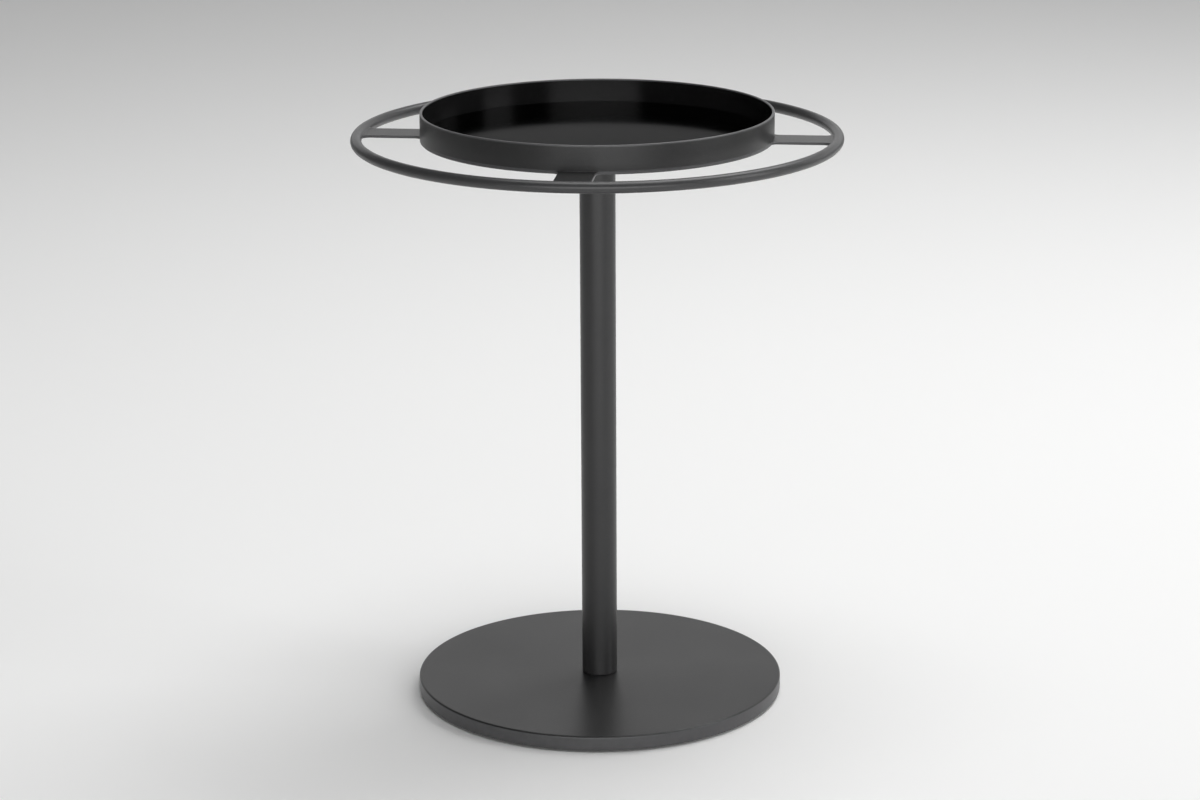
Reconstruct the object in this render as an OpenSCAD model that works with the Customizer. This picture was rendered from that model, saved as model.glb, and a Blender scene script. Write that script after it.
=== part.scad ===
// Rotating display rack for spectacles and small jewellery.
// A steel base disc carries a tube pole. A tray with four arms and a hanging ring turns on
// top of the pole, on a spindle that runs in two small ball bearings inside the tube.
// Millimetres. +Z is up, and the origin is on the floor under the middle of the base.

/* [Base] */
// Radius of the steel base disc
base_r = 83; // [60:0.5:120]
// Thickness of the steel base disc
base_t = 6.4; // [5.2:0.1:12]
// Rounding of the base disc's top edge
base_top_round = 0.8; // [0.3:0.1:1.5]
// Rounding of the base disc's bottom edge
base_bottom_round = 0.4; // [0.2:0.1:1]
// How far the non-slip pad stays inside the base's edge
pad_inset = 3; // [1:0.5:10]
// Thickness of the non-slip pad
pad_t = 1; // [0.8:0.1:3]
// Radius of the hole in the pad that leaves the base screw free
pad_hole_r = 11; // [9:0.5:20]

/* [Pole] */
// Outer radius of the pole tube
pole_r = 8; // [7.4:0.1:15]
// Wall of the pole tube
pole_wall = 1.5; // [0.8:0.1:1.8]
// Length of the pole tube
pole_len = 245.7; // [120:0.1:420]
// Length of the tapped plug in the pole's foot
plug_len = 20; // [16:0.5:40]

/* [Tray] */
// Outer radius of the tray
tray_r = 78; // [50:0.5:90]
// Height of the strip that makes the tray's side
rim_h = 11.2; // [6:0.1:40]
// Wall of that strip
rim_wall = 1.2; // [0.8:0.1:2]
// Thickness of the sheet that makes the tray's floor and the arms
sheet_t = 1.2; // [0.8:0.1:3]
// Thickness of the gloss inlay on the tray's floor
inlay_t = 0.8; // [0.5:0.1:3]
// Gap between the inlay and the tray's side
inlay_gap = 0.25; // [0.1:0.05:1]

/* [Arms and ring] */
// Number of arms
arm_count = 4; // [3:1:6]
// Width of each arm
arm_w = 16; // [8:0.5:24]
// Radius of the hollow corners where an arm meets the tray and the ring
arm_fillet_r = 3; // [0.5:0.1:5]
// Radius of the hanging ring, to the middle of its rod
ring_r = 106; // [98:0.5:150]
// Radius of the ring's rod
rod_r = 2.5; // [1.5:0.1:4]

/* [Bearings] */
// Bore radius of a ball bearing
bearing_bore_r = 2.5; // [1.8:0.1:2.7]
// Outer radius of a ball bearing
bearing_r = 5; // [4.8:0.1:6]
// Width of a ball bearing
bearing_w = 4; // [3.6:0.1:6]
// Radius of a bearing ball
ball_r = 0.8; // [0.5:0.05:0.9]
// Number of balls in a bearing
ball_count = 8; // [5:1:8]
// Length of the sleeve that holds the bearings, below its flange
sleeve_len = 30; // [16:0.5:60]
// Thickness of the sleeve's flange
sleeve_flange_t = 1.2; // [0.8:0.1:3]
// Thickness of the spindle's flange
spindle_flange_t = 2; // [1:0.1:4]

/* [Screws] */
// Thread radius of the base screw
bolt_r = 3; // [2:0.25:4]
// Length of the base screw under its head
bolt_len = 16; // [10:1:30]
// Head radius of the base screw
bolt_head_r = 5.25; // [4.5:0.05:6.8]
// Head height of the base screw
bolt_head_h = 3.3; // [2:0.1:3.8]
// Size of the hex socket in the base screw's head, across its flats
bolt_socket = 4; // [2:0.5:5]
// Thickness of the toothed lock washer
lock_washer_t = 0.7; // [0.4:0.1:1.2]
// Depth of the base's pocket for the screw head, which may reach into the pad
pocket_depth = 3.6; // [3:0.1:4]
// Size of the lock nut across its flats
nut_flats = 8; // [6.5:0.1:9.5]
// Height of the lock nut
nut_h = 5; // [3:0.1:8]
// Thickness of the shim washer between the lock nut and the lower inner race
shim_t = 0.5; // [0.3:0.1:2]

/* [Fits] */
// Gap between the turning flange and the fixed flange
turn_gap = 0.5; // [0.3:0.1:2]
// Gap round a pin, spacer or washer that slips on
slip = 0.02; // [0.01:0.01:0.1]
// Gap round each ball in the race grooves and the cage pockets
ball_gap = 0.02; // [0.01:0.01:0.05]
// Gap between the edge of a bearing shield and the inner race
shield_gap = 0.08; // [0.05:0.01:0.1]
// Room round the head of the base screw
head_room = 1.4; // [0.5:0.1:3]
// Room round the shank of the base screw where it passes through the base
shank_room = 0.3; // [0.1:0.1:1]

/* [Hidden] */
$fn = 96;

over = 1;
black = [0.10, 0.10, 0.105];
gloss_black = [0.03, 0.03, 0.035];
rubber = [0.16, 0.16, 0.16];
bright_steel = [0.75, 0.76, 0.78];
zinc = [0.68, 0.69, 0.70];
anodised_black = [0.12, 0.12, 0.125];
nylon = [0.90, 0.89, 0.84];

base_top = pad_t + base_t;
pole_top = base_top + pole_len;
pole_inner_r = pole_r - pole_wall;

sleeve_top = pole_top + sleeve_flange_t;
sleeve_bottom = pole_top - sleeve_len;
bearing_recess = 0.2;
upper_bearing_z = sleeve_top - bearing_recess - bearing_w;
lower_bearing_z = sleeve_bottom + bearing_recess;
sleeve_shoulder_len = upper_bearing_z - lower_bearing_z - bearing_w;

pitch_r = (bearing_bore_r + bearing_r) / 2;
land_offset = 0.56 * ball_r;
inner_land_r = pitch_r - land_offset;
outer_land_r = pitch_r + land_offset;
shield_t = 0.2;
shield_depth = 0.45;
shield_seat_r = outer_land_r + 0.25;
cage_h = 2 * ball_r + 0.5;
cage_land_gap = 0.12;

spindle_r = bearing_bore_r - slip;
spindle_step_r = inner_land_r - 0.1;
plate_bottom = sleeve_top + turn_gap + spindle_flange_t;
plate_top = plate_bottom + sheet_t;
plate_middle = plate_bottom + sheet_t / 2;
shim_z = lower_bearing_z - shim_t;
nut_z = shim_z - nut_h;
nut_collar_h = 1;
nut_corner_r = nut_flats / 2 / cos(30);
nut_collar_r = 0.94 * nut_flats / 2;
nut_ring_r = bearing_bore_r + 0.8;
nut_ring_h = 1.1;
nut_ring_lip = 0.2;
thread_end = 1.5;
thread_chamfer = 0.5;
spindle_bottom = nut_z - thread_end;

rim_round = 0.35 * rim_wall;
ring_inner_r = ring_r - rod_r;
cope_depth = 0.25;
corner_sink = 0.1;
arc_steps = 10;

pocket_top = pad_t + pocket_depth;
pocket_r = bolt_head_r + head_room;
bolt_head_top = pocket_top - lock_washer_t;
lock_washer_r = bolt_head_r + 0.25;
lock_washer_teeth = 8;
plug_thread_extra = 3;
plug_chamfer = 0.4;

// A disc's half section: a rectangle from the axis out, with its two outer corners rounded.
module disc_section(radius, height, top_round, bottom_round) {
    translate([0, bottom_round])
        square([radius - top_round, height - bottom_round]);
    square([radius - bottom_round, height - top_round]);
    translate([0, bottom_round])
        square([radius, height - top_round - bottom_round]);
    translate([radius - top_round, height - top_round])
        circle(r = top_round);
    translate([radius - bottom_round, bottom_round])
        circle(r = bottom_round);
}

// A flat ring or a short tube standing on z.
module tube(outer_r, inner_r, height, z) {
    translate([0, 0, z])
        difference() {
            cylinder(r = outer_r, h = height);
            translate([0, 0, -over])
                cylinder(r = inner_r, h = height + 2 * over);
        }
}

// Puts its children where each ball of one bearing is.
module at_balls(z) {
    for (i = [0 : ball_count - 1])
        rotate([0, 0, i * 360 / ball_count])
            translate([pitch_r, 0, z + bearing_w / 2])
                children();
}

module ball_groove(z) {
    translate([0, 0, z + bearing_w / 2])
        rotate_extrude()
            translate([pitch_r, 0])
                circle(r = ball_r + ball_gap);
}

module outer_race(z) {
    color(bright_steel)
        difference() {
            tube(bearing_r, outer_land_r, bearing_w, z);
            ball_groove(z);
            translate([0, 0, z - over])
                cylinder(r = shield_seat_r, h = shield_depth + over);
            translate([0, 0, z + bearing_w - shield_depth])
                cylinder(r = shield_seat_r, h = shield_depth + over);
        }
}

module inner_race(z) {
    color(bright_steel)
        difference() {
            tube(inner_land_r, bearing_bore_r, bearing_w, z);
            ball_groove(z);
        }
}

module shields(z) {
    color(zinc) {
        tube(shield_seat_r, inner_land_r + shield_gap, shield_t, z + shield_depth - shield_t);
        tube(shield_seat_r, inner_land_r + shield_gap, shield_t, z + bearing_w - shield_depth);
    }
}

module balls(z) {
    color(bright_steel)
        at_balls(z)
            sphere(r = ball_r);
}

module cage(z) {
    color(nylon)
        difference() {
            tube(outer_land_r - cage_land_gap, inner_land_r + cage_land_gap, cage_h,
                 z + (bearing_w - cage_h) / 2);
            at_balls(z)
                sphere(r = ball_r + ball_gap);
        }
}

module base_pad() {
    color(rubber)
        tube(base_r - pad_inset, pad_hole_r, pad_t, 0);
}

module base_plate() {
    color(black)
        difference() {
            translate([0, 0, pad_t])
                rotate_extrude()
                    disc_section(base_r, base_t, base_top_round, base_bottom_round);
            cylinder(r = pocket_r, h = pocket_top);
            cylinder(r = bolt_r + shank_room, h = base_top + over);
        }
}

// A button head with a hex socket: the head is a cap cut from a sphere.
module base_bolt() {
    cap_r = (pow(bolt_head_r, 2) + pow(bolt_head_h, 2)) / (2 * bolt_head_h);
    color(zinc)
        difference() {
            union() {
                intersection() {
                    translate([0, 0, bolt_head_top - bolt_head_h + cap_r])
                        sphere(r = cap_r);
                    translate([0, 0, bolt_head_top - bolt_head_h])
                        cylinder(r = 2 * bolt_head_r, h = bolt_head_h);
                }
                translate([0, 0, bolt_head_top])
                    cylinder(r = bolt_r, h = bolt_len);
            }
            translate([0, 0, bolt_head_top - bolt_head_h - over])
                cylinder(r = bolt_socket / 2 / cos(30), h = 0.6 * bolt_head_h + over, $fn = 6);
        }
}

module base_lock_washer() {
    color(zinc)
        difference() {
            tube(lock_washer_r, bolt_r + 4 * slip, lock_washer_t, bolt_head_top);
            for (i = [0 : lock_washer_teeth - 1])
                rotate([0, 0, (i + 0.5) * 360 / lock_washer_teeth])
                    translate([0, -lock_washer_r / 10, bolt_head_top - over])
                        cube([0.75 * lock_washer_r, lock_washer_r / 5, lock_washer_t + 2 * over]);
        }
}

module pole_tube() {
    color(black)
        tube(pole_r, pole_inner_r, pole_len, base_top);
}

module pole_foot_plug() {
    hole_depth = bolt_head_top + bolt_len - base_top + plug_thread_extra;
    color(zinc)
        difference() {
            translate([0, 0, base_top])
                rotate_extrude()
                    polygon([[0, 0], [pole_inner_r, 0], [pole_inner_r, plug_len - plug_chamfer],
                             [pole_inner_r - plug_chamfer, plug_len], [0, plug_len]]);
            translate([0, 0, base_top - over])
                cylinder(r = bolt_r + slip, h = min(hole_depth, plug_len + over) + over);
        }
}

// The sleeve is pressed into the pole. A shoulder between its two seats keeps the outer races apart.
module bearing_sleeve() {
    color(anodised_black)
        difference() {
            union() {
                translate([0, 0, sleeve_bottom])
                    cylinder(r = pole_inner_r, h = sleeve_len);
                translate([0, 0, pole_top])
                    cylinder(r = pole_r, h = sleeve_flange_t);
            }
            translate([0, 0, sleeve_bottom - over])
                cylinder(r = shield_seat_r, h = sleeve_len + sleeve_flange_t + 2 * over);
            translate([0, 0, upper_bearing_z])
                cylinder(r = bearing_r, h = bearing_w + bearing_recess + over);
            translate([0, 0, lower_bearing_z - bearing_recess - over])
                cylinder(r = bearing_r, h = bearing_w + bearing_recess + over);
        }
}

module upper_outer_race() {
    outer_race(upper_bearing_z);
}

module upper_shields() {
    shields(upper_bearing_z);
}

module upper_inner_race() {
    inner_race(upper_bearing_z);
}

module upper_balls() {
    balls(upper_bearing_z);
}

module upper_cage() {
    cage(upper_bearing_z);
}

module lower_outer_race() {
    outer_race(lower_bearing_z);
}

module lower_shields() {
    shields(lower_bearing_z);
}

module lower_inner_race() {
    inner_race(lower_bearing_z);
}

module lower_balls() {
    balls(lower_bearing_z);
}

module lower_cage() {
    cage(lower_bearing_z);
}

// One turned piece: a flange welded under the arm plate, a step that bears on the upper inner
// race, a shaft through both bearings and a threaded end for the lock nut.
module spindle() {
    color(bright_steel)
        union() {
            translate([0, 0, sleeve_top + turn_gap])
                cylinder(r = pole_r, h = spindle_flange_t);
            translate([0, 0, upper_bearing_z + bearing_w])
                cylinder(r = spindle_step_r, h = bearing_recess + turn_gap + over / 2);
            translate([0, 0, spindle_bottom])
                rotate_extrude()
                    polygon([[0, 0], [spindle_r - thread_chamfer, 0], [spindle_r, thread_chamfer],
                             [spindle_r, sleeve_top + turn_gap - spindle_bottom],
                             [0, sleeve_top + turn_gap - spindle_bottom]]);
        }
}

module inner_race_spacer() {
    color(bright_steel)
        tube(inner_land_r, bearing_bore_r, sleeve_shoulder_len, lower_bearing_z + bearing_w);
}

module spindle_shim() {
    color(zinc)
        tube(inner_land_r, bearing_bore_r, shim_t, shim_z);
}

module spindle_nut() {
    color(zinc)
        difference() {
            union() {
                translate([0, 0, nut_z + nut_collar_h])
                    cylinder(r = nut_corner_r, h = nut_h - nut_collar_h, $fn = 6);
                translate([0, 0, nut_z])
                    cylinder(r = nut_collar_r, h = nut_h / 2);
            }
            translate([0, 0, nut_z - over])
                cylinder(r = bearing_bore_r, h = nut_h + 2 * over);
            translate([0, 0, nut_z + nut_ring_lip])
                cylinder(r = nut_ring_r, h = nut_ring_h);
        }
}

module spindle_nut_ring() {
    color(nylon)
        tube(nut_ring_r, spindle_r, nut_ring_h, nut_z + nut_ring_lip);
}

function arc(centre, radius, from, to) = [
    for (i = [0 : arc_steps])
        let (angle = from + (to - from) * i / arc_steps)
            centre + radius * [cos(angle), sin(angle)]];

// The middle of a hollow corner that touches one side of an arm and a circle about the axis.
function corner_middle(distance) =
    let (y = arm_w / 2 + arm_fillet_r)
        [sqrt(pow(distance, 2) - pow(y, 2)), y];

// One side of an arm, from inside the tray to past the ring's inner edge.
function arm_side() =
    let (reach = ring_inner_r + cope_depth,
         inner = corner_middle(tray_r - corner_sink + arm_fillet_r),
         outer = corner_middle(reach - arm_fillet_r),
         inner_angle = atan2(inner[1], inner[0]),
         outer_angle = atan2(outer[1], outer[0]))
        concat([(tray_r - over) * [cos(inner_angle), sin(inner_angle)]],
               arc(inner, arm_fillet_r, 180 + inner_angle, 270),
               arc(outer, arm_fillet_r, 270, 360 + outer_angle),
               [(reach + over) * [cos(outer_angle), sin(outer_angle)]]);

module arm_outline() {
    side = arm_side();
    last = len(side) - 1;
    polygon(concat(side, [for (i = [last : -1 : 0]) [side[i][0], -side[i][1]]]));
}

// One laser-cut sheet: the tray's floor and the arms, whose ends are coped to the ring's rod.
module arm_plate() {
    color(black)
        difference() {
            translate([0, 0, plate_bottom]) {
                cylinder(r = tray_r, h = sheet_t);
                for (i = [0 : arm_count - 1])
                    rotate([0, 0, i * 360 / arm_count])
                        linear_extrude(height = sheet_t)
                            arm_outline();
            }
            translate([0, 0, plate_middle])
                rotate_extrude()
                    translate([ring_r, 0])
                        circle(r = rod_r);
        }
}

module tray_rim() {
    color(black)
        translate([0, 0, plate_top])
            rotate_extrude()
                translate([tray_r - rim_wall, 0]) {
                    square([rim_wall, rim_h - rim_round]);
                    translate([rim_round, 0])
                        square([rim_wall - 2 * rim_round, rim_h]);
                    translate([rim_round, rim_h - rim_round])
                        circle(r = rim_round);
                    translate([rim_wall - rim_round, rim_h - rim_round])
                        circle(r = rim_round);
                }
}

module tray_inlay() {
    color(gloss_black)
        translate([0, 0, plate_top])
            cylinder(r = tray_r - rim_wall - inlay_gap, h = inlay_t);
}

module hang_ring() {
    color(black)
        translate([0, 0, plate_middle])
            rotate_extrude()
                translate([ring_r, 0])
                    circle(r = rod_r);
}

base_pad();
base_plate();
base_bolt();
base_lock_washer();
pole_tube();
pole_foot_plug();
bearing_sleeve();
upper_outer_race();
upper_shields();
upper_inner_race();
upper_balls();
upper_cage();
lower_outer_race();
lower_shields();
lower_inner_race();
lower_balls();
lower_cage();
spindle();
inner_race_spacer();
spindle_shim();
spindle_nut();
spindle_nut_ring();
arm_plate();
tray_rim();
tray_inlay();
hang_ring();
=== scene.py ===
"""A rotating display rack: a steel base and pole, and a head with a tray and a hanging ring.

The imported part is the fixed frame. The pieces that show are made again here as finer surfaces,
and every piece gets its own finish. Metres, +Z up, with the origin on the floor under the base.
"""
import math

import bpy
import numpy as np
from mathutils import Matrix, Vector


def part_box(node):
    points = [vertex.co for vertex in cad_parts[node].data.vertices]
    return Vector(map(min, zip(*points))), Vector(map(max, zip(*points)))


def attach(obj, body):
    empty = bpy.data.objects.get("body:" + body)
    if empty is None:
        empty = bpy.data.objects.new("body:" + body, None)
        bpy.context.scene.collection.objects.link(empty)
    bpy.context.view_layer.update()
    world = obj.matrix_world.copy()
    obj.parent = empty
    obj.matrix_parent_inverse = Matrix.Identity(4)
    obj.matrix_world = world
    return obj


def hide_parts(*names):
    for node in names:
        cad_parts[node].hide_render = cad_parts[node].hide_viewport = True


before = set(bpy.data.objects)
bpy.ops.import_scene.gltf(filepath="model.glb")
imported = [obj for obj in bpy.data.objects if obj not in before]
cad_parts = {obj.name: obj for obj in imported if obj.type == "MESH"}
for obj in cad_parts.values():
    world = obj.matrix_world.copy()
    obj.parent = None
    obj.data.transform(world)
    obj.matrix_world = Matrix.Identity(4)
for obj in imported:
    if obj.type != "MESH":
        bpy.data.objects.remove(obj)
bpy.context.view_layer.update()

# ---------------------------------------------------------------------------------------------
# Camera. It stands in front of the rack and a little to its right, and looks down on it.
# The lens is a long one, so the ring and the base keep nearly true ellipses.
# ---------------------------------------------------------------------------------------------
CAMERA_REACH = 1.40356
CAMERA_HEIGHT = 0.53783
CAMERA_ASIDE = 0.00068
CAMERA_TURN = math.radians(6.15)
CAMERA_PITCH = 0.2783
CAMERA_ROLL = -0.0047
CAMERA_LENS = 97.22


def place_camera():
    """Puts the camera on a circle round the pole, turned by CAMERA_TURN from the front."""
    lens = bpy.data.cameras.new("camera")
    lens.lens = CAMERA_LENS
    lens.sensor_width = 36
    camera = bpy.data.objects.new("camera", lens)
    bpy.context.scene.collection.objects.link(camera)
    cos, sin = math.cos(CAMERA_TURN), math.sin(CAMERA_TURN)
    camera.location = (
        CAMERA_ASIDE * cos + CAMERA_REACH * sin,
        CAMERA_ASIDE * sin - CAMERA_REACH * cos,
        CAMERA_HEIGHT,
    )
    camera.rotation_mode = "QUATERNION"
    turn = Matrix.Rotation(CAMERA_TURN, 3, "Z")
    pitch = Matrix.Rotation(math.pi / 2 - CAMERA_PITCH, 3, "X")
    roll = Matrix.Rotation(CAMERA_ROLL, 3, "Z")
    camera.rotation_quaternion = (turn @ pitch @ roll).to_quaternion()
    bpy.context.scene.camera = camera


place_camera()

# ---------------------------------------------------------------------------------------------
# Base plate. A thick steel disc cut by laser, its edges rounded on a lathe, with a pocket below
# for the screw that holds the pole. It is powder-coated satin black.
# ---------------------------------------------------------------------------------------------
BASE_TOP_ROUND = 0.0008
BASE_BOTTOM_ROUND = 0.0004
POCKET_RADIUS = 0.00665
POCKET_DEPTH = 0.0036
SHANK_HOLE_RADIUS = 0.0033
FINE_ROUND = 0.0001
HAIR = 0.00003
SUPPORT = 0.0004
SUPPORT_SHARE = 0.4
SIDE_PAINTED_LIGHT = 0.8
BLACK = (0.014, 0.014, 0.0142)
BLACK_SPECK_AND_PAINTED_LIGHT = (0.080, 0.080, 0.083)
BLACK_DEEP = (0.009, 0.009, 0.0092)
DEEP_GLOSS = 0.24
GRAIN_DEPTH = 0.000012
PEEL_DEPTH = 0.00002


def rounded(corners, rounds, closed=True, steps=6):
    """An outline of (distance, height, edge) rows, from corners with the given radius at each.

    Each corner is cut back to an arc that touches both its sides. A point is kept SUPPORT before
    it and after it, or SUPPORT_SHARE of the flat between two arcs where that is less, so that the
    flat sides stay flat in the shading. The third column is 1 on the arc and 0 on the sides.
    """
    corners, rounds = np.array(corners, float), np.array(rounds, float)
    count = len(corners)
    side = np.roll(corners, -1, axis=0) - corners
    length = np.linalg.norm(side, axis=1)
    ahead = side / length[:, None]
    bend = np.arccos(np.clip((ahead * np.roll(ahead, 1, axis=0)).sum(axis=1), -1, 1))
    start = rounds * np.tan(bend / 2)
    support = np.minimum(SUPPORT, SUPPORT_SHARE * (length - start - np.roll(start, -1)))
    rows = []
    for i in range(count):
        if not closed and i in (0, count - 1):
            rows.append([*corners[i], 0])
            continue
        before, after = -ahead[i - 1], ahead[i]
        inwards = (before + after) / np.linalg.norm(before + after)
        middle = corners[i] + inwards * rounds[i] / math.cos(bend[i] / 2)
        first = corners[i] + before * start[i] - middle
        last = corners[i] + after * start[i] - middle
        angle = np.linspace(0, bend[i], steps + 1)[:, None]
        arc = (np.sin(bend[i] - angle) * first + np.sin(angle) * last) / math.sin(bend[i]) + middle
        rows.append([*(corners[i] + before * (start[i] + support[i - 1])), 0])
        rows.extend([*point, 1] for point in arc)
        rows.append([*(corners[i] + after * (start[i] + support[i])), 0])
    return np.array(rows)


def mesh_piece(name, points, faces, edge):
    """A smooth-shaded mesh object at the origin, with the edge value of each point kept."""
    mesh = bpy.data.meshes.new(name)
    mesh.from_pydata(points.tolist(), [], faces)
    mesh.polygons.foreach_set("use_smooth", np.ones(len(mesh.polygons), bool))
    mesh.attributes.new("edge", "FLOAT", "POINT").data.foreach_set("value", edge.astype(np.float32))
    mesh.update()
    piece = bpy.data.objects.new(name, mesh)
    bpy.context.scene.collection.objects.link(piece)
    return piece


def band(rows, steps, closed=False):
    """The faces between each row of points and the next, on a grid whose rows are rings."""
    row, step = np.meshgrid(np.arange(rows if closed else rows - 1), np.arange(steps), indexing="ij")
    above, beside = (row + 1) % rows, (step + 1) % steps
    corners = [row * steps + step, row * steps + beside, above * steps + beside, above * steps + step]
    return np.stack(corners, axis=-1).reshape(-1, 4)


def turned(name, outline, turns=288, closed=True):
    """A surface of revolution about the pole's axis.

    A point of the outline at distance r and height z becomes (r cos a, r sin a, z) for every
    angle a. The outline runs with the solid on its left. An open outline starts and ends on the
    axis, where its first and last points are single points that close the surface.
    """
    angle = np.arange(turns) * 2 * math.pi / turns
    rows = outline if closed else outline[1:-1]
    x = np.outer(rows[:, 0], np.cos(angle))
    y = np.outer(rows[:, 0], np.sin(angle))
    points = np.stack([x, y, np.repeat(rows[:, 1:2], turns, axis=1)], axis=-1).reshape(-1, 3)
    edge = np.repeat(rows[:, 2], turns)
    count = len(rows)
    faces = band(count, turns, closed).tolist()
    if not closed:
        first, last = len(points), len(points) + 1
        ends = np.array([[0, 0, outline[0, 1]], [0, 0, outline[-1, 1]]])
        points = np.vstack([points, ends])
        edge = np.append(edge, [0, 0])
        step = np.arange(turns)
        beside = (step + 1) % turns
        top = (count - 1) * turns
        faces += np.stack([beside, step, np.full(turns, first)], axis=-1).tolist()
        faces += np.stack([top + step, top + beside, np.full(turns, last)], axis=-1).tolist()
    return mesh_piece(name, points, faces, edge)


class Nodes:
    """A new material and short ways to add and link its nodes."""

    def __init__(self, name):
        self.material = bpy.data.materials.new(name)
        self.material.use_nodes = True
        self.tree = self.material.node_tree
        self.shader = self.tree.nodes["Principled BSDF"]
        self.place = self.add("ShaderNodeTexCoord").outputs["Object"]

    def add(self, kind, **values):
        node = self.tree.nodes.new(kind)
        for key, value in values.items():
            setattr(node, key, value)
        return node

    def link(self, source, target):
        self.tree.links.new(source, target)

    def feed(self, name, source):
        """Links a source to the shader's socket of this name."""
        self.link(source, self.shader.inputs[name])

    def set(self, **values):
        """Sets constants on the shader's own sockets: specular_tint is the socket Specular Tint."""
        for key, value in values.items():
            name = key.replace("_", " ").title().replace("Ior", "IOR")
            self.shader.inputs[name].default_value = (*value, 1) if isinstance(value, tuple) else value

    def noise(self, scale, detail=2, roughness=0.5, place=None):
        node = self.add("ShaderNodeTexNoise")
        node.inputs["Scale"].default_value = scale
        node.inputs["Detail"].default_value = detail
        node.inputs["Roughness"].default_value = roughness
        self.link(place or self.place, node.inputs["Vector"])
        return node.outputs["Fac"]

    def spread(self, source, low, high, to_low=0, to_high=1, kind="LINEAR"):
        """Maps the span low to high of a value on to to_low to to_high, and clamps it."""
        node = self.add("ShaderNodeMapRange", interpolation_type=kind)
        for socket, value in zip(node.inputs[1:5], (low, high, to_low, to_high)):
            socket.default_value = value
        self.link(source, node.inputs[0])
        return node.outputs[0]

    def math(self, operation, first, second):
        node = self.add("ShaderNodeMath", operation=operation)
        for socket, value in zip(node.inputs, (first, second)):
            if isinstance(value, (int, float)):
                socket.default_value = value
            else:
                self.link(value, socket)
        return node.outputs[0]

    def mix(self, amount, first, second):
        node = self.add("ShaderNodeMix", data_type="RGBA")
        sockets = [node.inputs[i] for i in (0, 6, 7)]
        for socket, value in zip(sockets, (amount, first, second)):
            if isinstance(value, tuple):
                socket.default_value = (*value, 1)
            else:
                self.link(value, socket)
        return node.outputs[2]

    def bump(self, height, depth, under=None):
        """A bump whose height value of 1 stands depth metres high, on top of another."""
        node = self.add("ShaderNodeBump")
        node.inputs["Distance"].default_value = depth
        self.link(height, node.inputs["Height"])
        if under:
            self.link(under, node.inputs["Normal"])
        return node.outputs["Normal"]


def powder_coat():
    """Satin black powder: a soft orange peel, a fine grain, and a film that varies.

    The attribute edge pales the black towards grey where it is above 0: on rounded edges as
    thinned powder and as a painted highlight, and over the base's side, the pole and the ring as
    painted light. At -1 the black is darker and glossier.
    """
    nodes = Nodes("black_powder_coat")
    cloud = nodes.noise(16, 3)
    grain = nodes.noise(5200, 2, 0.6)
    peel = nodes.noise(850, 1)
    edge = nodes.add("ShaderNodeAttribute", attribute_name="edge").outputs["Fac"]
    # Painted highlight and painted light: a higher edge value pales the black, partly thinned powder on
    # rounded edges.
    thinned_and_painted_light = nodes.math("MULTIPLY", edge, nodes.spread(nodes.noise(240, 3, 0.65), 0.3, 0.7, 0.8, 1))
    shade, tint = (tuple(share * c for c in BLACK) for share in (0.9, 1.1))
    tone = nodes.mix(nodes.spread(cloud, 0.35, 0.65), shade, tint)
    speck = nodes.spread(nodes.noise(7400, 0), 0.66, 0.74, 0, 0.4)
    tone = nodes.mix(speck, tone, BLACK_SPECK_AND_PAINTED_LIGHT)
    deep = nodes.spread(edge, -1, 0, 1, 0)
    tone = nodes.mix(deep, nodes.mix(thinned_and_painted_light, tone, BLACK_SPECK_AND_PAINTED_LIGHT), BLACK_DEEP)
    nodes.feed("Base Color", tone)
    rough = nodes.spread(cloud, 0.3, 0.7, 0.33, 0.39)
    rough = nodes.math("SUBTRACT", rough, nodes.math("MULTIPLY", deep, DEEP_GLOSS))
    rough = nodes.math("ADD", rough, nodes.spread(grain, 0.3, 0.7, -0.03, 0.03))
    nodes.feed("Roughness", rough)
    nodes.feed("Normal", nodes.bump(grain, GRAIN_DEPTH, nodes.bump(peel, PEEL_DEPTH)))
    return nodes.material


def finish(piece, material, body, slot, *replaced):
    """Gives a new piece its material and its body, and hides the CAD nodes it stands for. The slot is not
    used.
    """
    piece.data.materials.append(material)
    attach(piece, body)
    if replaced:
        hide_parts(*replaced)


black = powder_coat()
low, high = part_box("base_plate")
base_radius, base_bottom, base_top = high.x, low.z, high.z
pocket_top = base_bottom + POCKET_DEPTH
base_outline = rounded(
    [
        (SHANK_HOLE_RADIUS, pocket_top),
        (POCKET_RADIUS, pocket_top),
        (POCKET_RADIUS, base_bottom),
        (base_radius, base_bottom),
        (base_radius, base_top),
        (SHANK_HOLE_RADIUS, base_top),
    ],
    [FINE_ROUND, FINE_ROUND, 2 * FINE_ROUND, BASE_BOTTOM_ROUND, BASE_TOP_ROUND, FINE_ROUND],
)
# Painted light: the base's side is painted paler than its top, standing for the light the floor in front
# throws on it.
base_outline[:, 2] = SIDE_PAINTED_LIGHT * (base_outline[:, 0] > base_radius - HAIR)
base = turned("base_disc", base_outline)
finish(base, black, "stand", "black_powder_coat", "base_plate")

# ---------------------------------------------------------------------------------------------
# Non-slip pad. A thin rubber disc glued under the base, with a hole that leaves the screw free.
# ---------------------------------------------------------------------------------------------
PAD_ROUND = 0.0002
PAD_HOLE_RADIUS = 0.011
PEBBLE_DEPTH = 0.00006
RUBBER = (0.020, 0.020, 0.021)
DUST = (0.055, 0.053, 0.050)


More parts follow.
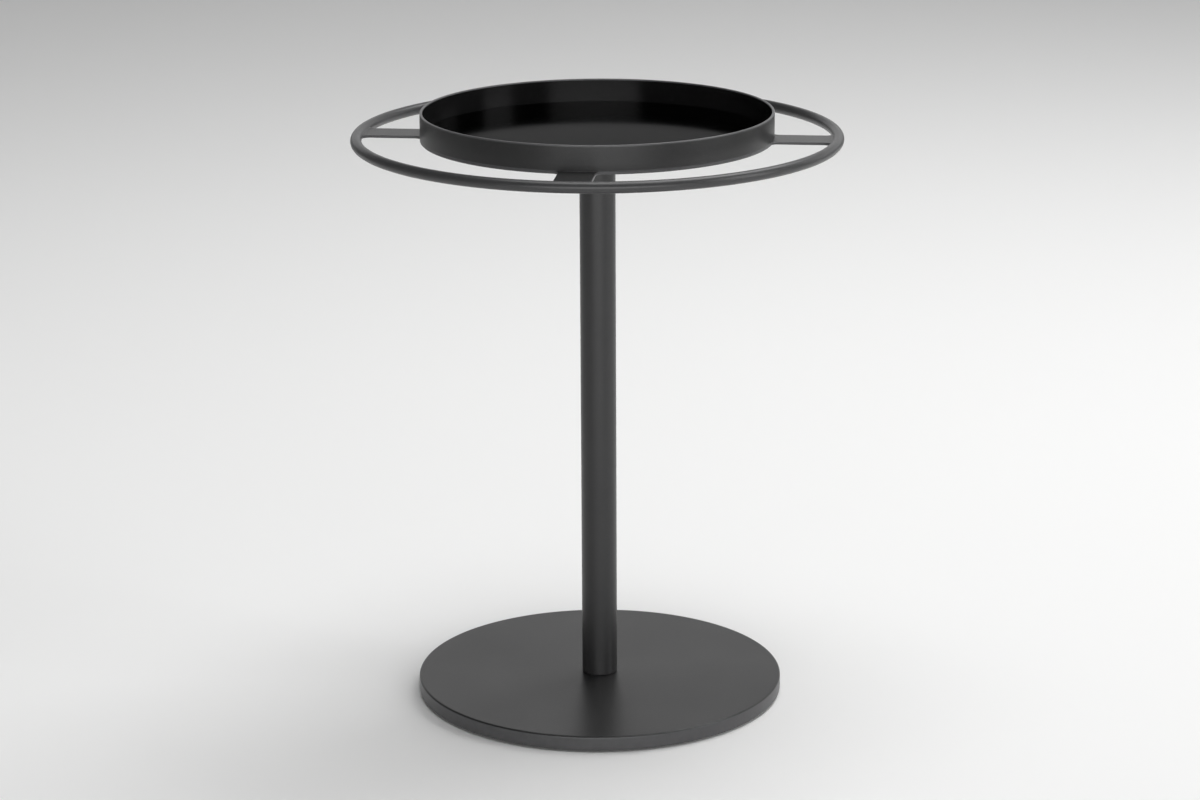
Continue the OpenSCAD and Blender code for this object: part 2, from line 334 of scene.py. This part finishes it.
def rubber_sheet():
    """Matt moulded rubber with a fine pebble grain and a little dust caught in it."""
    nodes = Nodes("rubber_pad")
    pebble = nodes.add("ShaderNodeTexVoronoi")
    pebble.inputs["Scale"].default_value = 1400
    nodes.link(nodes.place, pebble.inputs["Vector"])
    dust = nodes.spread(nodes.noise(90, 4, 0.6), 0.45, 0.8, 0, 0.35)
    nodes.feed("Base Color", nodes.mix(dust, RUBBER, DUST))
    nodes.feed("Roughness", nodes.spread(dust, 0, 0.35, 0.72, 0.92))
    nodes.feed("Normal", nodes.bump(pebble.outputs["Distance"], PEBBLE_DEPTH))
    return nodes.material


low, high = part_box("base_pad")
pad_outline = rounded(
    [(PAD_HOLE_RADIUS, low.z), (high.x, low.z), (high.x, high.z), (PAD_HOLE_RADIUS, high.z)],
    [PAD_ROUND] * 4,
)
pad = turned("non_slip_pad", pad_outline)
finish(pad, rubber_sheet(), "stand", "rubber_pad", "base_pad")

# ---------------------------------------------------------------------------------------------
# Pole. Round steel tube cut square, with its ends lightly broken, and powder-coated like the
# base that it stands on.
# ---------------------------------------------------------------------------------------------
POLE_WALL = 0.0015
POLE_END_ROUND = 0.0005
POLE_PAINTED_LIGHT = 0.12

low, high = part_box("pole_tube")
pole_radius = high.x
pole_bore = pole_radius - POLE_WALL
pole_outline = rounded(
    [(pole_bore, low.z), (pole_radius, low.z), (pole_radius, high.z), (pole_bore, high.z)],
    [POLE_END_ROUND] * 4,
)
# Painted light: the whole tube is painted a little paler, standing for light on it.
pole_outline[:, 2] = POLE_PAINTED_LIGHT
pole = turned("pole", pole_outline, turns=160)
finish(pole, black, "stand", "black_powder_coat", "pole_tube")

# ---------------------------------------------------------------------------------------------
# Screw, washer, plug and lock nut. Stock steel fasteners with a bright zinc plating.
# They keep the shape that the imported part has.
# ---------------------------------------------------------------------------------------------
ZINC_NODES = ["base_bolt", "base_lock_washer", "pole_foot_plug", "spindle_nut", "spindle_shim"]
ZINC_DARK = (0.50, 0.52, 0.55)
ZINC_LIGHT = (0.66, 0.67, 0.68)


def zinc_plate():
    """Bright zinc on steel: a pale grey-blue metal with cloudy patches and fine turning marks."""
    nodes = Nodes("zinc_plated_steel")
    cloud = nodes.noise(420, 4, 0.6)
    nodes.feed("Base Color", nodes.mix(nodes.spread(cloud, 0.3, 0.7), ZINC_DARK, ZINC_LIGHT))
    nodes.set(metallic=1.0)
    nodes.feed("Roughness", nodes.spread(cloud, 0.3, 0.7, 0.42, 0.24))
    nodes.feed("Normal", nodes.bump(nodes.noise(6000, 2), 0.000006))
    return nodes.material


def paint_nodes(names, material):
    """Gives CAD nodes a material in place of their own."""
    for name in names:
        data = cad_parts[name].data
        data.materials.clear()
        data.materials.append(material)


paint_nodes(ZINC_NODES, zinc_plate())

# ---------------------------------------------------------------------------------------------
# Bearing sleeve. Turned from aluminium bar, anodised black and pressed into the pole, so that
# only the edge of its flange shows.
# ---------------------------------------------------------------------------------------------
ANODISED_DARK = (0.010, 0.010, 0.011)
ANODISED_LIGHT = (0.020, 0.020, 0.022)


def anodised():
    """Black anodised aluminium with faint turning lines round the axis."""
    nodes = Nodes("black_anodised")
    ring = nodes.add("ShaderNodeTexWave", wave_type="RINGS", rings_direction="Z")
    ring.inputs["Scale"].default_value = 1500
    ring.inputs["Distortion"].default_value = 1.5
    nodes.link(nodes.place, ring.inputs["Vector"])
    nodes.feed("Base Color", nodes.mix(nodes.noise(300, 3), ANODISED_DARK, ANODISED_LIGHT))
    nodes.feed("Roughness", nodes.spread(ring.outputs["Fac"], 0, 1, 0.34, 0.44))
    nodes.feed("Normal", nodes.bump(ring.outputs["Fac"], 0.000004))
    return nodes.material


paint_nodes(["bearing_sleeve"], anodised())

# ---------------------------------------------------------------------------------------------
# Ball bearings. Two shielded steel bearings inside the sleeve: ground races, polished balls in a
# moulded nylon cage, and pressed shields. The lock nut's ring is the same nylon.
# ---------------------------------------------------------------------------------------------
RACE_NODES = [f"{place}_{part}" for place in ("upper", "lower") for part in ("outer_race", "inner_race")]
POLISHED_NODES = [f"{place}_{part}" for place in ("upper", "lower") for part in ("balls", "shields")]
NYLON_NODES = ["upper_cage", "lower_cage", "spindle_nut_ring"]
STEEL_DARK = (0.58, 0.58, 0.59)
STEEL_LIGHT = (0.70, 0.70, 0.71)
NYLON_DARK = (0.72, 0.70, 0.60)
NYLON_LIGHT = (0.82, 0.80, 0.71)
NYLON_DEPTH = (0.0006, 0.0005, 0.0003)


def cut_lines(nodes, scale, squeeze):
    """Lines round the axis, as a tool leaves them: a noise squeezed along the axis."""
    squash = nodes.add("ShaderNodeMapping")
    squash.inputs["Scale"].default_value = (1, 1, squeeze)
    nodes.link(nodes.place, squash.inputs["Vector"])
    return nodes.noise(scale, 4, 0.6, squash.outputs["Vector"])


def ground_steel(name, squeeze, dull, sharp):
    """Bearing steel with grinding lines round the axis. dull and sharp are its roughness limits."""
    nodes = Nodes(name)
    lines = cut_lines(nodes, 300, squeeze)
    nodes.feed("Base Color", nodes.mix(nodes.spread(lines, 0.3, 0.7), STEEL_DARK, STEEL_LIGHT))
    nodes.set(metallic=1.0)
    nodes.feed("Roughness", nodes.spread(lines, 0.3, 0.7, sharp, dull))
    nodes.feed("Normal", nodes.bump(lines, 0.000003))
    return nodes.material


def nylon():
    """Natural nylon: a warm, slightly clear white with a soft moulded surface."""
    nodes = Nodes("nylon")
    cloud = nodes.noise(700, 3)
    nodes.feed("Base Color", nodes.mix(cloud, NYLON_DARK, NYLON_LIGHT))
    nodes.set(subsurface_weight=0.25)
    nodes.shader.inputs["Subsurface Radius"].default_value = NYLON_DEPTH
    nodes.feed("Roughness", nodes.spread(cloud, 0.3, 0.7, 0.38, 0.5))
    nodes.feed("Normal", nodes.bump(nodes.noise(5000, 2), 0.000008))
    return nodes.material


paint_nodes(RACE_NODES, ground_steel("bearing_steel", 14, 0.26, 0.16))
paint_nodes(POLISHED_NODES, ground_steel("polished_steel", 1, 0.16, 0.07))
paint_nodes(NYLON_NODES, nylon())

# ---------------------------------------------------------------------------------------------
# Spindle and spacer. The spindle is turned from steel bar and its flange is welded under the arm
# plate, so the flange is coated with the head while the shaft was masked and stays bright.
# ---------------------------------------------------------------------------------------------
COAT_START = 0.0003
COAT_FADE = 0.0001
COAT_RAGGED = 0.0002
COAT_DULL = 0.14
SHAFT_DARK = (0.50, 0.50, 0.51)
SHAFT_LIGHT = (0.63, 0.63, 0.64)


def masked_spindle(coated_above):
    """Bare turned steel below a height, and black powder over it above, with a ragged edge."""
    nodes = Nodes("masked_spindle")
    split = nodes.add("ShaderNodeSeparateXYZ")
    nodes.link(nodes.place, split.inputs[0])
    ragged = nodes.spread(nodes.noise(900, 3), 0, 1, -COAT_RAGGED, COAT_RAGGED)
    height = nodes.math("ADD", split.outputs["Z"], ragged)
    coated = nodes.spread(height, coated_above - COAT_FADE, coated_above + COAT_FADE)
    lines = cut_lines(nodes, 260, 16)
    steel = nodes.mix(nodes.spread(lines, 0.3, 0.7), SHAFT_DARK, SHAFT_LIGHT)
    nodes.feed("Base Color", nodes.mix(coated, steel, BLACK))
    nodes.feed("Metallic", nodes.spread(coated, 0, 1, 1, 0))
    rough = nodes.spread(lines, 0.3, 0.7, 0.22, 0.34)
    nodes.feed("Roughness", nodes.math("ADD", rough, nodes.math("MULTIPLY", coated, COAT_DULL)))
    nodes.feed("Normal", nodes.bump(lines, 0.000005, nodes.bump(nodes.noise(4200, 2), 0.000008)))
    return nodes.material


sleeve_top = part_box("bearing_sleeve")[1].z
paint_nodes(["spindle"], masked_spindle(sleeve_top + COAT_START))
paint_nodes(["inner_race_spacer"], ground_steel("turned_steel", 16, 0.34, 0.24))

# ---------------------------------------------------------------------------------------------
# Arm plate. One laser-cut sheet makes the tray's floor and the four flat arms, which run out to
# the ring. The corners where an arm leaves the tray and meets the ring are hollow.
# ---------------------------------------------------------------------------------------------
ARM_COUNT = 4
ARM_WIDTH = 0.016
ARM_CORNER = 0.003
ARM_OVERLAP = 0.0011
SHEET_ROUND = 0.0002
END_STEPS = 10
CORNER_STEPS = 14
SIDE_STEPS = 14
EDGE_STEPS = 50
TRAY_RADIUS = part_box("tray_rim")[1].x
low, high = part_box("arm_plate")
plate_bottom, plate_top = low.z, high.z
ring_low, ring_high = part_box("hang_ring")
ROD_RADIUS = (ring_high.z - ring_low.z) / 2
RING_RADIUS = ring_high.x - ROD_RADIUS
RING_HEIGHT = (ring_high.z + ring_low.z) / 2


def arm_quarter():
    """The plate's outline over half an arm and the tray's edge up to the next, with its normals.

    It is made of arcs and straight sides: the arm's end inside the rod, a hollow corner against
    the rod, the arm's side, a hollow corner and the tray's edge. A hollow corner is a circle
    that touches both its sides, and each arc's normal points to or from its centre. The end
    that the rod hides has its normals turned in, like the hollow corners beside it.
    """
    half = ARM_WIDTH / 2
    corner_y = half + ARM_CORNER
    rod_inside = RING_RADIUS - math.sqrt(ROD_RADIUS**2 - (plate_top - RING_HEIGHT) ** 2)
    outer = np.array([math.sqrt((rod_inside + HAIR - ARM_CORNER) ** 2 - corner_y**2), corner_y])
    inner = np.array([math.sqrt((TRAY_RADIUS + ARM_CORNER) ** 2 - corner_y**2), corner_y])
    outer_angle, inner_angle = math.atan2(*outer[::-1]), math.atan2(*inner[::-1])

    def arc(centre, radius, start, end, steps, sign):
        angle = np.linspace(start, end, steps)
        way = np.stack([np.cos(angle), np.sin(angle)], axis=-1)
        return np.hstack([centre + radius * way, sign * way])

    ring_end = arc(0, rod_inside + ARM_OVERLAP, 0, outer_angle, END_STEPS, -1)[:-1]
    ring_corner = arc(outer, ARM_CORNER, outer_angle, -math.pi / 2, CORNER_STEPS, -1)
    side_x = np.linspace(outer[0], inner[0], SIDE_STEPS + 2)[1:-1]
    side = np.array([[x, half, 0, 1] for x in side_x])
    tray_corner = arc(inner, ARM_CORNER, -math.pi / 2, inner_angle - math.pi, CORNER_STEPS, -1)
    edge = arc(0, TRAY_RADIUS, inner_angle, math.pi / ARM_COUNT, EDGE_STEPS, 1)
    return np.vstack([ring_end, ring_corner, side, tray_corner, edge[1:]])


def arm_outline():
    """The whole outline: the half arm mirrored in its own middle and turned to each arm."""
    half = arm_quarter()
    mirrored = half[:0:-1] * [1, -1, 1, -1]
    one = np.vstack([mirrored[1:], half])
    turns = 2 * math.pi * np.arange(ARM_COUNT) / ARM_COUNT
    cos, sin = np.cos(turns)[:, None], np.sin(turns)[:, None]
    columns = []
    for x, y in (one.T[:2], one.T[2:]):
        columns += [(cos * x - sin * y).ravel(), (sin * x + cos * y).ravel()]
    return np.stack(columns, axis=-1)


def end_faces(rows, steps):
    """One flat face over the first row of a grid and one over its last, both facing out."""
    ring = np.arange(steps)
    return np.stack([ring[::-1], (rows - 1) * steps + ring])


def sheet_piece(name, outline, bottom, top, edge_round):
    """A flat sheet of any outline, with its long edges rounded.

    A row is the whole outline, set in along its normals and at one height. The rows climb from
    the underside to the top round two quarter circles, and a flat face closes each end.
    """
    place, normal = outline[:, :2], outline[:, 2:]
    quarter = np.linspace(0, math.pi / 2, 4)
    rise = edge_round * (1 - np.cos(quarter))
    height = np.concatenate([[bottom], bottom + rise, top - rise[::-1], [top]])
    inset = edge_round * (1 - np.sin(quarter))
    inset = np.concatenate([[2 * edge_round], inset, inset[::-1], [2 * edge_round]])
    flat = place[None] - inset[:, None, None] * normal[None]
    count, turns = len(height), len(outline)
    points = np.dstack([flat, np.repeat(height[:, None], turns, axis=1)]).reshape(-1, 3)
    # The rounded rows get edge 1, which pales the black: partly thinned powder, partly a painted highlight.
    edge = np.repeat([0] + [1] * (count - 2) + [0], turns)
    faces = band(count, turns).tolist() + end_faces(count, turns).tolist()
    return mesh_piece(name, points, faces, edge)


arms = sheet_piece("tray_floor_and_arms", arm_outline(), plate_bottom, plate_top, SHEET_ROUND)
finish(arms, black, "head", "black_powder_coat", "arm_plate")

# ---------------------------------------------------------------------------------------------
# Tray rim. A strip rolled to a hoop and welded on the edge of the tray's floor, ground flush.
# Its top edge is rounded over and catches the light, and the round is painted paler as a thin
# line, partly thinned powder and partly a painted highlight. Its inside is darker and glossier.
# ---------------------------------------------------------------------------------------------
RIM_WALL = 0.0012
RIM_TOP_ROUND = 0.00042

low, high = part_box("tray_rim")
rim_inside = high.x - RIM_WALL
rim_outline = rounded(
    [(rim_inside, low.z), (high.x, low.z), (high.x, high.z), (rim_inside, high.z)],
    [FINE_ROUND, FINE_ROUND / 2, RIM_TOP_ROUND, RIM_TOP_ROUND],
)
rim_outline[(rim_outline[:, 2] == 0) & (rim_outline[:, 0] < rim_inside + HAIR), 2] = -1
rim = turned("tray_hoop", rim_outline, turns=360)
finish(rim, black, "head", "black_powder_coat", "tray_rim")

# ---------------------------------------------------------------------------------------------
# Tray inlay. A disc of gloss black acrylic laid on the tray's floor.
# ---------------------------------------------------------------------------------------------
INLAY_ROUND = 0.0002
INLAY_TINT = (0.31, 0.31, 0.31)
INLAY_DARK = (0.034, 0.034, 0.035)
INLAY_LIGHT = (0.039, 0.039, 0.040)
SCRATCH_TONE = (0.09, 0.09, 0.09)
SCRATCH_WAYS = ((0.5, 46), (2.0, 60))


def gloss_acrylic():
    """Deep black gloss with hair-fine scratches and a faint haze where things have lain.

    It is a mirror that returns about a thirtieth of the light from above. The tint takes most of
    that away at a slant, where plain gloss would return far more. The scratches run two ways,
    each a noise turned by so many radians and stretched so many times.
    """
    nodes = Nodes("gloss_black_inlay")
    haze = nodes.spread(nodes.noise(38, 4, 0.6), 0.35, 0.75)
    nodes.set(metallic=1.0, specular_tint=INLAY_TINT)
    scratches = []
    for turn, stretch in SCRATCH_WAYS:
        way = nodes.add("ShaderNodeMapping")
        way.inputs["Rotation"].default_value = (0, 0, turn)
        way.inputs["Scale"].default_value = (1, stretch, 1)
        nodes.link(nodes.place, way.inputs["Vector"])
        scratches.append(nodes.spread(nodes.noise(60, 2, 0.7, way.outputs["Vector"]), 0.66, 0.72))
    scratch = nodes.math("MAXIMUM", *scratches)
    tone = nodes.mix(haze, INLAY_DARK, INLAY_LIGHT)
    nodes.feed("Base Color", nodes.mix(nodes.math("MULTIPLY", scratch, 0.5), tone, SCRATCH_TONE))
    rough = nodes.math("ADD", nodes.spread(haze, 0, 1, 0.09, 0.12), nodes.math("MULTIPLY", scratch, 0.06))
    nodes.feed("Roughness", rough)
    nodes.feed("Normal", nodes.bump(scratch, 0.000001))
    return nodes.material


low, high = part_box("tray_inlay")
inlay_outline = rounded(
    [(0, low.z), (high.x, low.z), (high.x, high.z), (0, high.z)],
    [0, INLAY_ROUND, INLAY_ROUND, 0],
    closed=False,
)
inlay = turned("gloss_inlay", inlay_outline, closed=False)
finish(inlay, gloss_acrylic(), "head", "gloss_black_inlay", "tray_inlay")

# ---------------------------------------------------------------------------------------------
# Hanging ring. Round steel rod rolled to a ring and butt-welded, then welded to the arms' ends.
# Spectacles hang over it by one temple.
# ---------------------------------------------------------------------------------------------
RING_PAINTED_LIGHT = 0.4


def ring_outline(steps=40):
    """The rod's round section, run so that its steel is on the left, painted paler all over as painted
    light.
    """
    angle = np.arange(steps) * 2 * math.pi / steps
    reach = RING_RADIUS + ROD_RADIUS * np.cos(angle)
    return np.stack([reach, RING_HEIGHT + ROD_RADIUS * np.sin(angle), np.full(steps, RING_PAINTED_LIGHT)], axis=-1)


ring = turned("hanging_ring", ring_outline(), turns=480)
finish(ring, black, "head", "black_powder_coat", "hang_ring")

# ---------------------------------------------------------------------------------------------
# Welds. A small hollow fillet runs along each face of an arm where it meets the rod, and one
# runs round the spindle's flange under the plate. They are coated with the rest of the head.
# ---------------------------------------------------------------------------------------------
WELD_RADIUS = 0.0014
WELD_HALF_LENGTH = 0.0102
WELD_STATIONS = 41
WELD_STEPS = 9
WELD_TIP = 1e-6
WELD_ROOT = 0.35
WELD_HEEL = 0.3
WELD_RIPPLES = ((0.04, 43, 0), (0.03, 71, 1))
SPINDLE_WELD_RADIUS = 0.0009


def bead_section():
    """A bead's section at each station: its distances from the axis and its heights over the ring.

    It is the corner between the arm's face and the rod, filled up to a circle that touches both.
    The circle shrinks almost to nothing at the bead's ends, and ripples by a few hundredths of
    its size between. Two points inside the steel close the section, one in the rod and one in
    the arm.
    """
    along = np.linspace(-1, 1, WELD_STATIONS)[:, None]
    ripple = 1 + sum(share * np.sin(along * rate + shift) for share, rate, shift in WELD_RIPPLES)
    radius = np.maximum(WELD_RADIUS * np.sqrt(np.clip(1 - along**4, 0, 1)) * ripple, WELD_TIP)
    face = (plate_top - plate_bottom) / 2
    centre_z = face + radius
    centre_x = RING_RADIUS - np.sqrt((ROD_RADIUS + radius) ** 2 - centre_z**2)
    touch = np.arctan2(-centre_z, RING_RADIUS - centre_x)
    angle = -math.pi / 2 + np.linspace(0, 1, WELD_STEPS) * (touch + math.pi / 2)
    meet_x = RING_RADIUS - math.sqrt(ROD_RADIUS**2 - face**2)
    root = WELD_ROOT * radius
    heel_x = centre_x + WELD_HEEL * (meet_x - centre_x)
    x = np.hstack([centre_x + radius * np.cos(angle), meet_x + root, heel_x])
    z = np.hstack([centre_z + radius * np.sin(angle), face + 0 * radius, face - root])
    return along, x, z


def ring_welds():
    """Eight beads in one mesh, on an arm's top and bottom face at a time.

    Each bead is its section carried along the ring. One on a bottom face is turned upside down,
    and its faces are turned round with it.
    """
    along, x, z = bead_section()
    stations, steps = x.shape
    points, faces = [], []
    for arm in range(ARM_COUNT):
        heading = along * WELD_HALF_LENGTH / RING_RADIUS + 2 * math.pi * arm / ARM_COUNT
        for side in (1, -1):
            start = len(points) * x.size
            bead = [x * np.cos(heading), x * np.sin(heading), RING_HEIGHT + side * z]
            points.append(np.stack(bead, axis=-1).reshape(-1, 3))
            for patch in (band(stations, steps), end_faces(stations, steps)):
                faces += (start + patch[:, ::side]).tolist()
    points = np.concatenate(points)
    return mesh_piece("ring_welds", points, faces, np.zeros(len(points)))


finish(ring_welds(), black, "head", "black_powder_coat")

flange_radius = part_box("spindle")[1].x
bead_angle = np.linspace(0, math.pi / 2, 8)
bead_reach = flange_radius + SPINDLE_WELD_RADIUS * (1 - np.cos(bead_angle))
bead_height = plate_bottom - SPINDLE_WELD_RADIUS * (1 - np.sin(bead_angle))
bead_root = [
    [flange_radius + SPINDLE_WELD_RADIUS, plate_bottom + FINE_ROUND, 0],
    [flange_radius - FINE_ROUND, plate_bottom + FINE_ROUND, 0],
    [flange_radius - FINE_ROUND, plate_bottom - SPINDLE_WELD_RADIUS, 0],
]
bead_outline = np.vstack([np.stack([bead_reach, bead_height, 0 * bead_angle], axis=-1), bead_root])
spindle_weld = turned("spindle_weld", bead_outline, turns=96)
finish(spindle_weld, black, "head", "black_powder_coat")

# ---------------------------------------------------------------------------------------------
# Floor and studio light. A white floor sweeps up into a pale wall all round, under soft boxes.
# The colour is whitest in the middle and greyer further out and up the wall: a painted falloff of light.
# ---------------------------------------------------------------------------------------------
FLOOR_REACH = 3.0
COVE_RADIUS = 1.4
WALL_TOP = 2.6
SLAB = 0.05
LEVEL_SHARE = 0.9
FALLOFF_START = 1.8
FALLOFF_END = 4.2
FLOOR_DARK = (0.895, 0.895, 0.890)
FLOOR_LIGHT = (0.905, 0.905, 0.900)
FALLOFF_TONE = (0.58, 0.58, 0.58)
ROOM_TONE = (0.86, 0.87, 0.88, 1)
ROOM_STRENGTH = 0.06
# Each soft box: its name, place, target, size and power in watts.
SOFT_BOXES = [
    ("top_box", (0.1, 0.2, 2.2), (0, 0, 0.1), (1.6, 1.6), 25.5),
    ("top_right_box", (0.6, 0.8, 1.6), (0, 0, 0.2), (0.9, 0.9), 10.5),
    ("back_box", (0, 3.2, 1.05), (0, 0, 0.2), (5, 1.4), 15.6),
    ("back_right_box", (1.7, 1.3, 0.9), (0, 0, 0.2), (0.8, 1.4), 3.5),
    ("right_box", (1.9, -0.4, 0.9), (0, 0, 0.2), (0.8, 1.4), 12.5),
    ("front_box", (0.4, -2.9, 0.5), (0, 0, 0.15), (3.4, 0.8), 42),
]


def studio_floor():
    """A shallow bowl turned about the axis: a level floor, a quarter circle up, and a wall."""
    angle = np.linspace(math.pi / 2, 0, 24)
    wall = FLOOR_REACH + COVE_RADIUS
    cove = np.stack([FLOOR_REACH + COVE_RADIUS * np.sin(angle), COVE_RADIUS * (1 - np.cos(angle))], axis=-1)
    outside = [[0, -SLAB], [wall + SLAB, -SLAB], [wall + SLAB, WALL_TOP], [wall, WALL_TOP]]
    outline = np.vstack([outside, cove, [[LEVEL_SHARE * FLOOR_REACH, 0], [0, 0]]])
    bowl = turned("studio_floor", np.hstack([outline, np.zeros((len(outline), 1))]), turns=96, closed=False)
    nodes = Nodes("white_paint_and_painted_falloff")
    reach = nodes.add("ShaderNodeVectorMath", operation="LENGTH")
    nodes.link(nodes.place, reach.inputs[0])
    # Painted shade: the floor and wall turn grey with distance from the middle, as though the light fell
    # off.
    painted_falloff = nodes.spread(reach.outputs["Value"], FALLOFF_START, FALLOFF_END, kind="SMOOTHSTEP")
    floor_tone = nodes.mix(nodes.noise(2.5, 2), FLOOR_DARK, FLOOR_LIGHT)
    nodes.feed("Base Color", nodes.mix(painted_falloff, floor_tone, FALLOFF_TONE))
    nodes.set(roughness=0.8, specular_ior_level=0.1)
    bowl.data.materials.append(nodes.material)


def soft_box(name, place, target, size, power):
    """A rectangular area light at a place, turned to face a target."""
    light = bpy.data.lights.new(name, "AREA")
    light.shape = "RECTANGLE"
    light.size, light.size_y = size
    light.energy = power
    box = bpy.data.objects.new(name, light)
    bpy.context.scene.collection.objects.link(box)
    box.location = place
    box.rotation_euler = (Vector(target) - Vector(place)).to_track_quat("-Z", "Y").to_euler()


studio_floor()
for box in SOFT_BOXES:
    soft_box(*box)
world = bpy.data.worlds.new("room")
world.use_nodes = True
background = world.node_tree.nodes["Background"]
background.inputs["Color"].default_value = ROOM_TONE
background.inputs["Strength"].default_value = ROOM_STRENGTH
bpy.context.scene.world = world
bpy.context.scene.view_settings.view_transform = "Standard"
